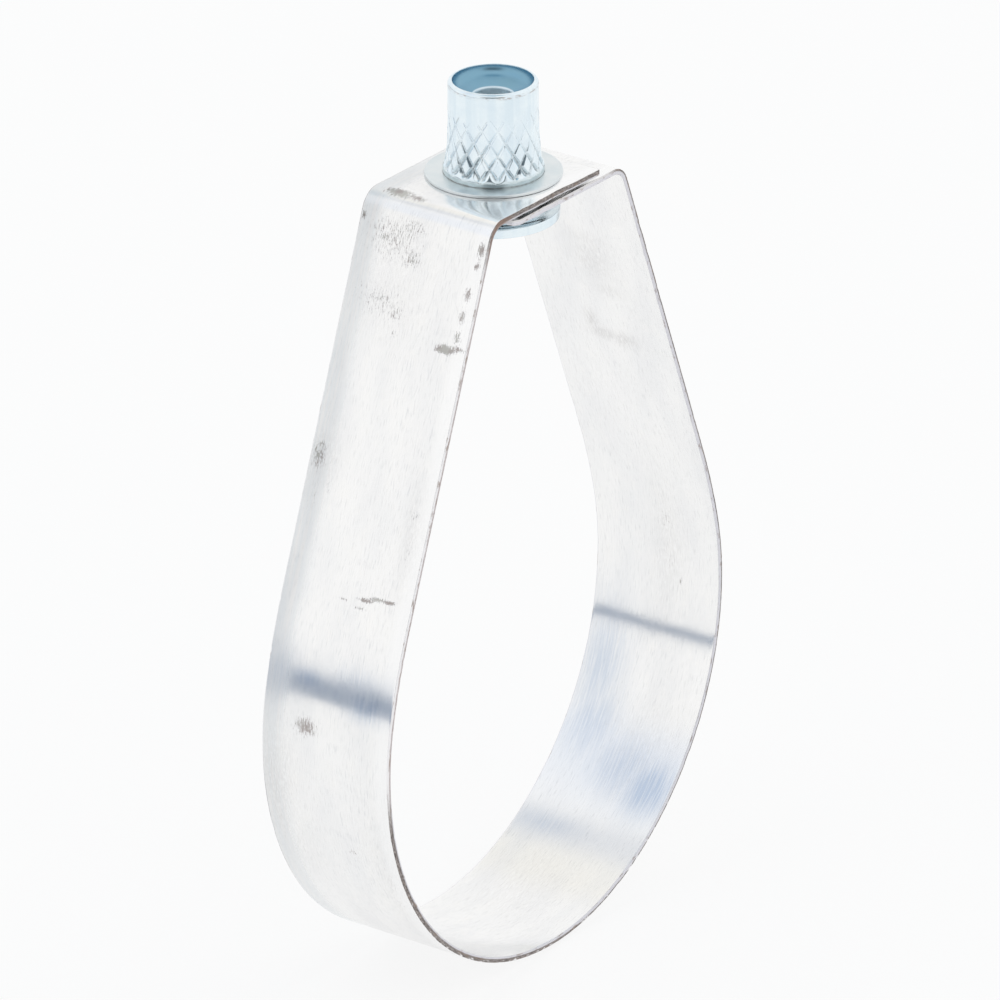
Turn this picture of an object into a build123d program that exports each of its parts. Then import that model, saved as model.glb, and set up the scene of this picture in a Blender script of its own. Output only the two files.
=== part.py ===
"""Swivel ring hanger for a pipe: a folded steel strip carried by a knurled swivel nut.

The origin is the centre of the ring, where the pipe's axis passes. The pipe runs along Y,
and the threaded rod comes down to the nut along Z. All lengths are in millimetres and all
angles in degrees.
"""
import os
from math import acos, atan2, cos, degrees, hypot, pi, radians, sin, tan

from build123d import *

# Strip that the ring is folded from
strip_width = 31.75
sheet = 1.2

# Ring, and the wide arcs at its shoulders that lead into the straight legs
ring_bore_radius = 60.3
shoulder_radius = 130.0
shoulder_sweep = 8.2

# Two straps that cross over the ring and carry the nut
lower_strap_top = 107.5
strap_gap = 1.1
strap_end_margin = 4.5
strap_corner = 0.6
lower_bend_radius = 5.2
lower_bend_setback = 5.0
upper_bend_radius = 6.6
upper_bend_setback = 3.1
hole_clearance = 0.55

# Swivel nut: the crown, its cup and the threaded hole
crown_radius = 9.35
crown_height = 5.2
rim_rounding = 0.85
rim_wall = 0.95
cup_curve = 2.5
cup_slope = 20.0
thread_bore_radius = 3.97
thread_chamfer = 0.4

# Swivel nut: the collar on the washer and the flange under the straps
collar_step = 0.45
collar_height = 1.5
flange_width = 3.15
flange_thickness = 2.0
flange_drop = 3.0
cove_radius = 2.4

# Diamond knurl between the collar and the smooth crown
knurl_count = 18
knurl_rows = 5
knurl_pitch = 2.75
knurl_depth = 0.5
knurl_flare = 0.65
knurl_half_angle = 35.0
land_setback = 0.02
core_inset = 0.15

# Washer that keeps the nut in the straps
washer_width = 3.75
washer_thickness = 0.65
washer_clearance = 0.05

# How far a solid that is cut away stands out past what it cuts
cut_margin = 1.0

# Heights that follow from the sizes above
lower_strap_bottom = lower_strap_top - sheet
upper_strap_top = lower_strap_top + strap_gap + sheet
washer_bottom = upper_strap_top + washer_clearance
washer_top = washer_bottom + washer_thickness
flange_top = lower_strap_bottom - flange_drop
flange_bottom = flange_top - flange_thickness
collar_top = washer_top + collar_height
knurl_top = collar_top + knurl_rows * knurl_pitch
rim_top = knurl_top + crown_height

# Radii and distances from the nut's axis that follow from the sizes above
ring_radius = ring_bore_radius + sheet
cup_radius = crown_radius - rim_wall
neck_radius = crown_radius + knurl_flare + collar_step
flange_radius = neck_radius + flange_width
washer_radius = neck_radius + washer_width
knurl_root_radius = crown_radius - knurl_depth
core_radius = knurl_root_radius - core_inset
strap_hole_radius = neck_radius + hole_clearance
strap_reach = strap_hole_radius + strap_end_margin
lower_bend_x = strap_reach + lower_bend_setback
upper_bend_x = strap_reach + upper_bend_setback


def leg_lean(bend_x, bend_z, bend_radius):
    """How far a straight leg leans from the vertical, as the line that touches its two arcs."""
    leg_distance = shoulder_radius + (ring_radius - shoulder_radius) * cos(radians(shoulder_sweep))
    bend_distance = hypot(bend_x, bend_z)
    return degrees(atan2(bend_z, bend_x) - acos((leg_distance - bend_radius) / bend_distance))


def strip_face(depth):
    """One face of the strip from the upper strap's end round to the lower strap's end.

    depth is how far that face lies under the outer face of the ring.
    """
    upper_z = upper_strap_top - upper_bend_radius
    lower_z = lower_strap_top - lower_bend_radius
    left_lean = leg_lean(upper_bend_x, upper_z, upper_bend_radius)
    right_lean = leg_lean(lower_bend_x, lower_z, lower_bend_radius)
    left_start = left_lean - shoulder_sweep
    right_start = right_lean - shoulder_sweep
    offset = ring_radius - shoulder_radius
    left_centre = (-offset * cos(radians(left_start)), offset * sin(radians(left_start)))
    right_centre = (offset * cos(radians(right_start)), offset * sin(radians(right_start)))

    upper_bend = CenterArc((-upper_bend_x, upper_z), upper_bend_radius - depth, 90, 90 - left_lean)
    left_shoulder = CenterArc(left_centre, shoulder_radius - depth, 180 - left_lean, shoulder_sweep)
    ring_turn = 180 + left_start + right_start
    ring = CenterArc((0, 0), ring_radius - depth, 180 - left_start, ring_turn)
    right_shoulder = CenterArc(right_centre, shoulder_radius - depth, right_start, shoulder_sweep)
    lower_bend = CenterArc((lower_bend_x, lower_z), lower_bend_radius - depth, right_lean, 90 - right_lean)
    upper_end = (strap_reach, upper_strap_top - depth)
    lower_end = (-strap_reach, lower_strap_top - depth)
    Line(upper_end, upper_bend @ 0)
    Line(upper_bend @ 1, left_shoulder @ 0)
    Line(right_shoulder @ 1, lower_bend @ 0)
    Line(lower_bend @ 1, lower_end)
    return upper_end, lower_end


def make_band():
    """The ring: one strip folded to a loop, with its two ends crossing as straps."""
    with BuildPart() as band:
        with BuildSketch(Plane.XZ):
            with BuildLine():
                outer_upper, outer_lower = strip_face(0)
                inner_upper, inner_lower = strip_face(sheet)
                Line(outer_upper, inner_upper)
                Line(outer_lower, inner_lower)
            make_face()
        extrude(amount=strip_width / 2, both=True)
        strap_corners = band.edges().filter_by(Axis.Z)
        fillet(strap_corners, strap_corner)
        hole_bottom = lower_strap_bottom - cut_margin
        hole_top = upper_strap_top + cut_margin
        with Locations((0, 0, (hole_bottom + hole_top) / 2)):
            Cylinder(strap_hole_radius, hole_top - hole_bottom, mode=Mode.SUBTRACT)
    return band.part


def knurl_surface_radius(z):
    """The radius of the diamond lands, which flare towards the collar."""
    rise = (z - collar_top) / (knurl_top - collar_top)
    return crown_radius - land_setback + knurl_flare * (1 - rise) ** 2


def knurl_point(radius, angle, z):
    return Vector(radius * cos(radians(angle)), radius * sin(radians(angle)), z)


def knurl_node(level, angle):
    """A crossing of two grooves, at the root of both. The grooves run out at the crown."""
    z = collar_top + level * knurl_pitch
    last = level == knurl_rows
    return knurl_point(knurl_surface_radius(z) if last else knurl_root_radius, angle, z)


def groove_half_width(z):
    """Half the width of a groove at the surface, which widens where the lands flare."""
    return (knurl_surface_radius(z) - knurl_root_radius) * tan(radians(knurl_half_angle))


def diamond_faces(level, middle):
    """The land and the four groove flanks of the diamond at this level and angle.

    At the first and the last level only the half inside the knurl is made.
    """
    half_turn = 180 / knurl_count
    centre_z = collar_top + level * knurl_pitch
    radius = knurl_surface_radius(centre_z)
    helix = pi * radius / knurl_count / knurl_pitch
    slant = (1 + helix ** 2) ** 0.5
    last = level == knurl_rows
    side_inset = 0 if last else degrees(groove_half_width(centre_z) * slant / radius)
    right_node = knurl_node(level, middle + half_turn)
    left_node = knurl_node(level, middle - half_turn)
    right = knurl_point(radius, middle + half_turn - side_inset, centre_z)
    left = knurl_point(radius, middle - half_turn + side_inset, centre_z)
    centre = knurl_point(radius, middle, centre_z)
    faces = []
    for step in (1, -1):
        if not 0 <= level + step <= knurl_rows:
            continue
        tip_z = centre_z + step * knurl_pitch
        tip_inset = groove_half_width(tip_z) * slant / helix
        if level + step == knurl_rows:
            tip_inset = groove_half_width(centre_z) * slant / helix
        land_z = tip_z - step * tip_inset
        tip = knurl_point(knurl_surface_radius(land_z), middle, land_z)
        tip_node = knurl_node(level + step, middle)
        faces += [(centre, right, tip), (centre, tip, left)]
        faces += [(right_node, tip_node, tip), (tip_node, left_node, tip)]
        if not last:
            faces += [(right_node, tip, right), (left_node, left, tip)]
    return faces


def make_knurl():
    """The knurled length as a solid of plane facets, from the collar to the crown."""
    step = 360 / knurl_count
    triangles = []
    for level in range(knurl_rows + 1):
        first_middle = step / 2 if level % 2 == 0 else 0
        for index in range(knurl_count):
            triangles += diamond_faces(level, first_middle + index * step)
    faces = [Face(Wire.make_polygon(corners, close=True)) for corners in triangles]
    rims = ShapeList(Shell(faces).edges()).group_by(Axis.Z)
    faces += [Face(Wire(rims[0])), Face(Wire(rims[-1]))]
    return Solid(Shell(faces))


def make_nut_body():
    """Flange, cove, neck, collar and crown, turned as one and still without the bore."""
    with BuildPart() as body:
        with BuildSketch(Plane.XZ):
            with BuildLine():
                cove_start = (neck_radius + cove_radius, flange_top)
                cove_end = (neck_radius, flange_top + cove_radius)
                cove_middle = (
                    neck_radius + cove_radius * (1 - cos(pi / 4)),
                    flange_top + cove_radius * (1 - sin(pi / 4)),
                )
                Polyline(
                    (0, flange_bottom),
                    (flange_radius, flange_bottom),
                    (flange_radius, flange_top),
                    cove_start,
                )
                ThreePointArc(cove_start, cove_middle, cove_end)
                Polyline(
                    cove_end,
                    (neck_radius, collar_top),
                    (core_radius, collar_top),
                    (core_radius, knurl_top),
                    (crown_radius, knurl_top),
                    (crown_radius, rim_top - rim_rounding),
                )
                RadiusArc(
                    (crown_radius, rim_top - rim_rounding),
                    (crown_radius - rim_rounding, rim_top),
                    -rim_rounding,
                )
                Polyline((crown_radius - rim_rounding, rim_top), (0, rim_top), (0, flange_bottom))
            make_face()
        revolve(axis=Axis.Z)
    return body.part


def make_nut_bore():
    """The rod's hole and the smooth cup that leads into it, as the solid that is cut away."""
    cup_turn = 90 - cup_slope
    curve_end_radius = cup_radius - cup_curve * (1 - cos(radians(cup_turn)))
    curve_end_z = rim_top - cup_curve * sin(radians(cup_turn))
    mouth_radius = thread_bore_radius + thread_chamfer
    mouth_z = curve_end_z - (curve_end_radius - mouth_radius) * tan(radians(cup_slope))
    above = rim_top + cut_margin
    below = flange_bottom - cut_margin
    with BuildPart() as bore:
        with BuildSketch(Plane.XZ):
            with BuildLine():
                Polyline((0, above), (cup_radius, above), (cup_radius, rim_top))
                cup = CenterArc((cup_radius - cup_curve, rim_top), cup_curve, 0, -cup_turn)
                Polyline(
                    cup @ 1,
                    (mouth_radius, mouth_z),
                    (thread_bore_radius, mouth_z - thread_chamfer),
                    (thread_bore_radius, below),
                    (0, below),
                    (0, above),
                )
            make_face()
        revolve(axis=Axis.Z)
    return bore.part


def make_swivel_nut():
    """The nut that the rod screws into, with its diamond knurl."""
    return make_nut_body() + make_knurl() - make_nut_bore()


def make_retaining_washer():
    """The thin washer pressed on the nut's neck, which rests on the upper strap."""
    from_bottom = (Align.CENTER, Align.CENTER, Align.MIN)
    with BuildPart() as washer:
        with Locations((0, 0, washer_bottom)):
            Cylinder(washer_radius, washer_thickness, align=from_bottom)
            Cylinder(neck_radius, washer_thickness, align=from_bottom, mode=Mode.SUBTRACT)
    return washer.part


parts = {
    "band": make_band(),
    "swivel_nut": make_swivel_nut(),
    "retaining_washer": make_retaining_washer(),
}

os.makedirs("parts", exist_ok=True)
for name, part in parts.items():
    export_step(part, f"parts/{name}.step")
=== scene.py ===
"""Looks of the swivel ring hanger: galvanized strip, zinc-plated knurled nut and thin washer.

Lengths in the named values are millimetres. Meshes are made in metres, in the CAD frame: the
origin is the centre of the ring, the pipe runs along Y and the rod along Z.
"""

from math import acos, atan2, cos, hypot, pi, radians, sin, tan

import bmesh
import bpy
import numpy as np
from mathutils import Matrix, Vector


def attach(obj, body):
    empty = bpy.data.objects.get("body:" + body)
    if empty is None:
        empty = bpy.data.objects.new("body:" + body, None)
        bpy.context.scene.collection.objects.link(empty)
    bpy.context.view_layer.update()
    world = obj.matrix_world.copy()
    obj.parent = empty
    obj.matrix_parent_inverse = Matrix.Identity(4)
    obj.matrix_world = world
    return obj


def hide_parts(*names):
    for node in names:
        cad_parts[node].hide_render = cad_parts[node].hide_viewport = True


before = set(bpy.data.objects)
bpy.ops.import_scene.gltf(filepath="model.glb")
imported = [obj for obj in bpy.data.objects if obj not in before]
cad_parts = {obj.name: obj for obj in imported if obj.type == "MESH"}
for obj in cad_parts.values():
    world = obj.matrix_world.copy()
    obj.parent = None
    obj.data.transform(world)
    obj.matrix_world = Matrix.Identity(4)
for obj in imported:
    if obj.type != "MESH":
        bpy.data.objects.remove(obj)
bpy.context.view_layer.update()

MM = 0.001

# Strip and ring, as in the solids
strip_width = 31.75
sheet = 1.2
ring_radius = 61.5
shoulder_radius = 130.0
shoulder_sweep = radians(8.2)
lower_strap_top = 107.5
upper_strap_top = 109.8
strap_reach = 15.5
strap_corner = 0.6
strap_hole_radius = 11.0
lower_bend_radius = 5.2
lower_bend_x = 20.5
upper_bend_x = 18.6

# The upper bend is a little tighter than in the solids, but the leg below it is the same
solid_upper_bend_radius = 6.6
upper_bend_radius = 5.4

# The straps lie slightly twisted: how much higher than in the solids each one stands at its bend
# and at its free end, on the side of negative Y and on the other side
upper_lifts = {"bend": (0.55, 0.9), "end": (-0.3, 0.4)}
lower_lifts = {"bend": (0.15, 1.0), "end": (0.75, 1.0)}
# How far the lower strap's free end curls up, and over what length
end_curl = 0.45
end_curl_length = 2.6
# The upper strap is pressed flat round its hole: how far below the washer, and between which
# distances from the hole's middle this flat seat runs out
seat_clearance = 0.03
seat_edge = (13.4, 17.0)

# Nut and washer, as in the solids apart from the knurl's flare, and from the washer and the
# collar's top, which stand a little higher because the upper strap is lifted
rim_top = 130.95
knurl_top = 125.75
knurl_foot = 112.0
collar_top = 112.3
washer_bottom = 110.46
washer_top = 111.1
flange_top = 103.3
flange_bottom = 101.3
crown_radius = 9.33
rim_rounding = 0.85
cup_radius = 8.4
cup_curve = 2.5
cup_slope = radians(20)
cup_edge_drop = 0.05
neck_radius = 10.45
cove_radius = 2.4
flange_radius = 13.6
edge_break = 0.25
foot_ring_radius = 5.2
washer_radius = 14.2
washer_rounding = 0.17
washer_fit = 0.01
neck_relief = 0.02

# Thread of the rod's hole. Its flank lies between two shares of the way from root to crest
thread_minor_radius = 3.97
thread_major_radius = 4.76
thread_pitch = 25.4 / 16
thread_chamfer = 0.2
thread_start = 2.8
thread_start_length = 1.0
thread_flank_start = 0.125
thread_flank_end = 0.75
thread_run_out = 1.2

# Knurl. Each groove differs a little from the next in depth and in where it runs out
knurl_count = 18
knurl_pitch = 2.75
knurl_flare = 0.92
flare_power = 3
collar_blend = 1.2
knurl_mean_radius = 9.6
groove_flank = radians(47)
groove_top_depth = 0.17
groove_base_depth = 0.62
groove_deepening = 1.4
groove_root_rounding = 0.05
groove_spread = 0.16
groove_seed = 20
groove_noise_row = 7.0
# Where they run out: a height, and how far from it they end and are at full depth, each with
# how much this differs
groove_run_outs = (
    (knurl_top, (-0.1, 0.3), (-1.3, 0.5)),
    (collar_top, (-0.3, 0.2), (0.5, 0.0)),
)

# Camera, at the photograph's viewing angle
camera_azimuth = radians(-54.761)
camera_elevation = radians(24.544)
camera_roll = radians(-0.43)
camera_distance = 1677.76
camera_target_right = 0.53
camera_target_up = 33.6
camera_lens = 287.8
camera_sensor = 36.0
camera_clip_metres = (0.05, 50)

# Floor, with a share of plain white that leaves the object's shadow visible
floor_radius = 900.0
floor_sides = 96
floor_white_share = 0.8


# Small helpers

# Points of a mesh that lie closer together than this are one point
merge_distance = 0.0005


def smooth(value, low, high):
    """0 at low, 1 at high and an even S curve between them."""
    share = np.clip((np.asarray(value, float) - low) / (high - low), 0, 1)
    return share * share * (3 - 2 * share)


def soft_noise(x, y, cell_x, cell_y, seed):
    """Noise from -1 to 1 that changes over about one cell, the same on each run."""
    size = 257
    table = np.random.default_rng(seed).uniform(-1, 1, (size, size))
    u, v = np.asarray(x, float) / cell_x, np.asarray(y, float) / cell_y
    i, j = np.floor(u).astype(int), np.floor(v).astype(int)
    a, b = smooth(u - i, 0, 1), smooth(v - j, 0, 1)
    low, high = (
        table[i % size, row % size] * (1 - a) + table[(i + 1) % size, row % size] * a
        for row in (j, j + 1)
    )
    return low * (1 - b) + high * b


def make_object(name, vertices, faces, materials, crease_angle, point_values, face_materials=None):
    """A smooth closed mesh from points in millimetres, with coinciding points joined.

    point_values holds a number for each vertex under each name that a material reads.
    """
    mesh = bpy.data.meshes.new(name)
    mesh.from_pydata((np.asarray(vertices) * MM).tolist(), [], faces)
    for material in materials:
        mesh.materials.append(material)
    if face_materials is not None:
        mesh.polygons.foreach_set("material_index", face_materials)
    for value_name, values in point_values.items():
        layer = mesh.attributes.new(value_name, "FLOAT", "POINT")
        layer.data.foreach_set("value", np.asarray(values, np.float32).ravel())
    edit = bmesh.new()
    edit.from_mesh(mesh)
    bmesh.ops.remove_doubles(edit, verts=edit.verts, dist=merge_distance * MM)
    loose = [vertex for vertex in edit.verts if not vertex.link_faces]
    bmesh.ops.delete(edit, geom=loose, context="VERTS")
    bmesh.ops.recalc_face_normals(edit, faces=edit.faces)
    edit.to_mesh(mesh)
    edit.free()
    mesh.polygons.foreach_set("use_smooth", [True] * len(mesh.polygons))
    mesh.set_sharp_from_angle(angle=crease_angle)
    mesh.update()
    piece = bpy.data.objects.new(name, mesh)
    bpy.context.scene.collection.objects.link(piece)
    return piece


def add_strip_map(piece):
    """A UV map with U across the strip and V along it, which turns the shine with the grain."""
    mesh = piece.data
    places = []
    for value_name in ("across", "along"):
        values = np.zeros(len(mesh.vertices), np.float32)
        mesh.attributes[value_name].data.foreach_get("value", values)
        places.append(values * MM)
    corners = np.zeros(len(mesh.loops), np.int32)
    mesh.loops.foreach_get("vertex_index", corners)
    strip_map = mesh.uv_layers.new(name="strip")
    strip_map.data.foreach_set("uv", np.stack(places, -1)[corners].ravel())


def arc_points(centre, radius, start, end, count):
    """Points (radius from the axis, height) along an arc, with both ends."""
    angles = np.linspace(start, end, count + 1)
    return [(centre[0] + radius * cos(a), centre[1] + radius * sin(a)) for a in angles]


def line_points(start, end, count):
    """Points along a straight line, without its two ends."""
    return [tuple(point) for point in np.linspace(start, end, count + 1)[1:-1]]


def ring_faces(first, rows, columns):
    """Quads between rows of points that go once round an axis."""
    faces = []
    for i in range(rows - 1):
        low = first + i * columns
        high = low + columns
        for j in range(columns):
            k = (j + 1) % columns
            faces.append((low + j, low + k, high + k, high + j))
    return faces


def joining_faces(fine_first, fine_columns, coarse_first, coarse_columns):
    """Faces between a ring of points and one with as many or fewer."""
    share = fine_columns // coarse_columns
    faces = []
    for k in range(coarse_columns):
        fine = [fine_first + (share * k + step) % fine_columns for step in range(share + 1)]
        faces.append(fine + [coarse_first + (k + 1) % coarse_columns, coarse_first + k])
    return faces


# The strip's path, measured along its outer face from the upper strap's end

leg_distance = shoulder_radius + (ring_radius - shoulder_radius) * cos(shoulder_sweep)


def leg_lean(bend_x, bend_z, bend_radius):
    """How far a leg leans from the vertical, as the line that touches its two arcs."""
    return atan2(bend_z, bend_x) - acos((leg_distance - bend_radius) / hypot(bend_x, bend_z))


def bend_centre(strap_normal, strap_place, leg_normal, bend_radius):
    """The centre of a bend that touches a strap and a leg."""
    distances = (strap_normal @ strap_place - bend_radius, leg_distance - bend_radius)
    return np.linalg.solve(np.array((strap_normal, leg_normal)), np.array(distances))


# Each strap with its leg: 1 for the right leg and -1 for the left one, then as named above
lower_strap = (1, lower_bend_x, lower_strap_top, lower_bend_radius, lower_bend_radius, lower_lifts)
upper_strap = (
    -1, upper_bend_x, upper_strap_top, solid_upper_bend_radius, upper_bend_radius, upper_lifts
)


def strap_and_leg(side, lifted, right, bend_x, strap_top, solid_radius, radius, lifts):
    """Lines and arcs of a strap and its leg along the strip, and the angle where the ring ends."""
    lean = leg_lean(bend_x, strap_top - solid_radius, solid_radius)
    start = lean - shoulder_sweep
    leg_normal = np.array((right * cos(lean), sin(lean)))
    shoulder = (ring_radius - shoulder_radius) * np.array((right * cos(start), sin(start)))
    end = np.array((-right * strap_reach, strap_top + lifted * lifts["end"][side]))
    bend = np.array((right * bend_x, strap_top + lifted * lifts["bend"][side]))
    tilt = atan2(right * (end[1] - bend[1]), right * (bend[0] - end[0]))
    normal = np.array((sin(tilt), cos(tilt)))
    middle = end + right * 2 * strap_reach * np.array((1, -tan(tilt)))
    centre = bend_centre(normal, end, leg_normal, radius)
    bend_top = centre + normal * radius
    leg_top = centre + leg_normal * radius
    leg_foot = shoulder + leg_normal * shoulder_radius
    if right > 0:
        bend_arc = (centre, radius, lean, pi / 2 - tilt - lean)
        shoulder_arc = (shoulder, shoulder_radius, start, shoulder_sweep)
        return [shoulder_arc, (leg_foot, leg_top), bend_arc, (bend_top, middle), (middle, end)], start
    bend_arc = (centre, radius, pi / 2 - tilt, pi / 2 - lean + tilt)
    shoulder_arc = (shoulder, shoulder_radius, pi - lean, shoulder_sweep)
    return [(end, middle), (middle, bend_top), bend_arc, (leg_top, leg_foot), shoulder_arc], start


def strip_segments(side, lifted=1.0):
    """Lines and arcs of the outer face on one side of the strip, in order along it.

    side is 0 for the side of negative Y and 1 for the other one. A line is its start and end,
    and an arc is its centre, radius, first angle and turn.
    """
    left_part, left_start = strap_and_leg(side, lifted, *upper_strap)
    right_part, right_start = strap_and_leg(side, lifted, *lower_strap)
    ring = (np.zeros(2), ring_radius, pi - left_start, pi + left_start + right_start)
    return left_part + [ring] + right_part


def segment_length(segment):
    """The length of a line, or of an arc."""
    if len(segment) == 2:
        return float(np.linalg.norm(segment[1] - segment[0]))
    return segment[1] * segment[3]


def segment_point(segment, share):
    """The point and the outward normal at this share of a line's or an arc's length."""
    if len(segment) == 2:
        direction = (segment[1] - segment[0]) / segment_length(segment)
        point = segment[0] + share * (segment[1] - segment[0])
        return point, np.broadcast_to(np.array((direction[1], -direction[0])), point.shape)
    angle = segment[2] + share * segment[3]
    normal = np.concatenate((np.cos(angle), np.sin(angle)), 1)
    return segment[0] + segment[1] * normal, normal


lengths = [segment_length(segment) for segment in strip_segments(0, lifted=0)]
strip_length = sum(lengths)
front_segments = strip_segments(0)
back_segments = strip_segments(1)


def strip_point(along, across):
    """Points (x, z) and outward normals of the outer face, at these places on the strip."""
    points = np.zeros(along.shape + (2,))
    normals = np.zeros(along.shape + (2,))
    back_share = np.clip(across / strip_width + 0.5, 0, 1)
    start = 0.0
    for index, length in enumerate(lengths):
        here = along >= start if index else np.ones(along.shape, bool)
        share = ((along[here] - start) / length)[:, None]
        back = back_share[here][:, None]
        front_point, front_normal = segment_point(front_segments[index], share)
        back_point, back_normal = segment_point(back_segments[index], share)
        points[here] = front_point * (1 - back) + back_point * back
        normals[here] = front_normal * (1 - back) + back_normal * back
        start += length
    return points, normals


# Marks on the strip: distance along, place across, half length, half width and strength.
# Positive places across lie on the far side of the strip in the photograph.
outer_scuffs = [
    (35.6, 9.4, 1.7, 3.6, 1.1),
    (35.9, 4.6, 1.1, 2.4, 0.95),
    (42.5, 14.9, 1.1, 0.7, 0.9),
    (45.4, 7.0, 5.6, 8.0, 0.56),
    (42.6, 2.4, 2.2, 4.0, 0.6),
    (48.8, 1.6, 2.0, 2.8, 0.68),
    (58.4, 6.6, 4.4, 7.4, 0.5),
    (60.0, 2.6, 2.4, 2.2, 0.58),
    (64.0, 2.0, 1.2, 0.8, 0.64),
    (43.3, -14.4, 1.8, 0.9, 1.0),
    (46.5, -14.1, 0.9, 0.8, 0.95),
    (52.6, -13.4, 1.5, 0.9, 0.9),
    (57.2, -13.2, 1.8, 0.9, 0.85),
    (61.4, -13.1, 1.5, 1.0, 0.8),
    (64.4, -10.7, 0.9, 2.2, 1.4),
    (63.7, -13.6, 0.6, 2.0, 1.0),
    (91.6, 13.6, 3.4, 1.9, 0.74),
    (97.4, 9.6, 3.0, 1.4, 0.4),
    (100.6, 13.0, 3.0, 1.0, 0.42),
    (98.6, -11.9, 2.6, 1.1, 0.5),
    (105.5, -12.2, 4.6, 0.9, 0.42),
    (118.8, 0.6, 0.35, 1.5, 1.0),
    (117.7, -4.6, 0.3, 1.9, 1.05),
    (117.0, -7.6, 0.4, 2.2, 1.15),
    (116.7, -10.2, 0.5, 1.6, 1.1),
    (119.6, -3.8, 0.3, 1.5, 0.95),
    (146.6, 5.1, 2.2, 3.2, 0.85),
    (158.0, 1.0, 2.0, 0.7, 0.45),
    (174.0, -4.6, 0.6, 1.4, 0.85),
    (172.0, -12.2, 4.0, 1.1, 0.42),
    (180.0, -12.6, 5.0, 1.6, 0.44),
    (188.0, -12.2, 6.0, 1.4, 0.42),
]
outer_smears = [
    (28.0, 6.0, 5.0, 9.0, 0.5),
    (45.0, 6.0, 7.0, 8.0, 0.35),
    (57.0, 5.0, 8.0, 8.0, 0.3),
    (92.0, 12.6, 6.0, 3.6, 0.5),
    (102.0, -12.2, 10.0, 2.0, 0.4),
    (161.0, 12.6, 12.0, 4.2, 0.6),
    (176.0, 9.0, 10.0, 6.0, 0.3),
    (180.0, -11.4, 20.0, 3.4, 0.3),
    (214.0, 0.0, 18.0, 10.0, 0.25),
]
# Blue marks: painted reflections of the room's blue, as patches on the sheet
outer_blue_reflections = [
    (136.4, 5.8, 1.5, 3.2, 0.75),
    (139.4, -9.2, 2.2, 3.6, 0.75),
    (134.6, -7.0, 2.4, 6.0, 0.4),
    (137.0, 13.0, 4.0, 3.0, 0.35),
]
inner_scuffs = [
    (358.0, -2.6, 6.0, 1.6, 0.38),
    (349.0, -3.4, 4.0, 1.6, 0.36),
    (344.0, -6.0, 0.9, 0.4, 0.95),
    (309.0, 2.0, 4.0, 5.0, 0.3),
]
inner_smears = [
    (432.0, -1.2, 5.0, 4.2, 0.55),
    (438.0, 0.0, 1.6, 4.6, 0.45),
    (424.0, -3.4, 1.6, 3.0, 0.5),
    (413.6, 3.8, 2.4, 1.3, 1.0),
    (410.6, 1.6, 1.3, 2.8, 1.0),
    (410.0, -3.6, 1.6, 2.6, 1.0),
    (352.0, -2.6, 16.0, 3.6, 0.4),
    (306.0, -6.0, 10.0, 7.0, 0.35),
    (266.0, 2.0, 14.0, 9.0, 0.3),
]
inner_blue_reflections = [
    (319.0, 11.0, 12.0, 4.6, 0.75),
    (309.0, 9.0, 8.0, 5.6, 0.7),
    (297.0, -10.6, 5.6, 5.0, 1.3),
    (300.0, -3.0, 6.0, 8.0, 0.75),
    (282.0, 8.0, 2.4, 7.0, 0.5),
]
face_marks = {
    "scuff": (outer_scuffs, inner_scuffs),
    "smear": (outer_smears, inner_smears),
    "blue": (outer_blue_reflections, inner_blue_reflections),
}
# How fast marks fade outwards, and the depths between which the inner face's take over
mark_fading = 0.7
middle_depths = (0.3, 0.9)


def mark_strength(along, across, marks):
    """How strongly the marks act at each place, fading outwards from a mark's middle."""
    strength = np.zeros_like(along)
    for mark_along, mark_across, half_length, half_width, power in marks:
        reach = ((along - mark_along) / half_length) ** 2 + ((across - mark_across) / half_width) ** 2
        strength = np.maximum(strength, power * np.exp(-mark_fading * reach))
    return strength


def mark_values(along, across, depth):
    """How strongly each kind of mark acts at each point of the band."""
    inside = smooth(depth, *middle_depths)
    values = {}
    for kind, (outer, inner) in face_marks.items():
        on_outer_face = (1 - inside) * mark_strength(along, across, outer)
        values[kind] = on_outer_face + inside * mark_strength(along, across, inner)
    return values


# Band: a grid over the flat strip, with a square block of it made round at each strap hole

along_step = 0.9
edge_rounding = 0.16
edge_cells = 8
hole_square = 10.4
hole_blend = 14.6
hole_cells = 28
side_cells = 11
sheet_crease = radians(40)
# The grid's rows near each cut end, which is rounded by this much over this length
end_rows = [0.0, 0.12, 0.3, 0.5, 0.75, 1.1, 1.6, 2.3, 3.2, 4.15]
end_rounding = 0.08
end_rounding_length = 0.12

# The sheet's long waves start this far from its ends and are let in, so that they stay inside the
# solids. Each has a height, a cell along and across, and a seed
ripple_start = (34, 48)
ripple_room = 0.05
ripples = ((0.03, 23.0, 19.0, 15), (0.01, 7.0, 6.0, 16))

# A sheared edge is burnished below the first depth and fractured above the second
fracture_depths = (0.95, 0.55)
# How far it is worn in everywhere, by its roughness, by longer bites and at its nicks
least_wear = 0.03
rough_wear = 0.035
bite_wear = 0.035
nick_wear = 0.3
nick_threshold = 0.62
grit_share = 0.6
burnished_share = 0.4
# Noise on the edges: its cell along, its cell in depth or between edges, and its seed
rough_noise = (1.1, 0.35, 11)
grit_noise = (0.95, 0.2, 12)
bite_noise = (6.0, 1.0, 13)
nick_noise = (1.8, 1.0, 14)
bite_row = 40
nick_row = 50


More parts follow.
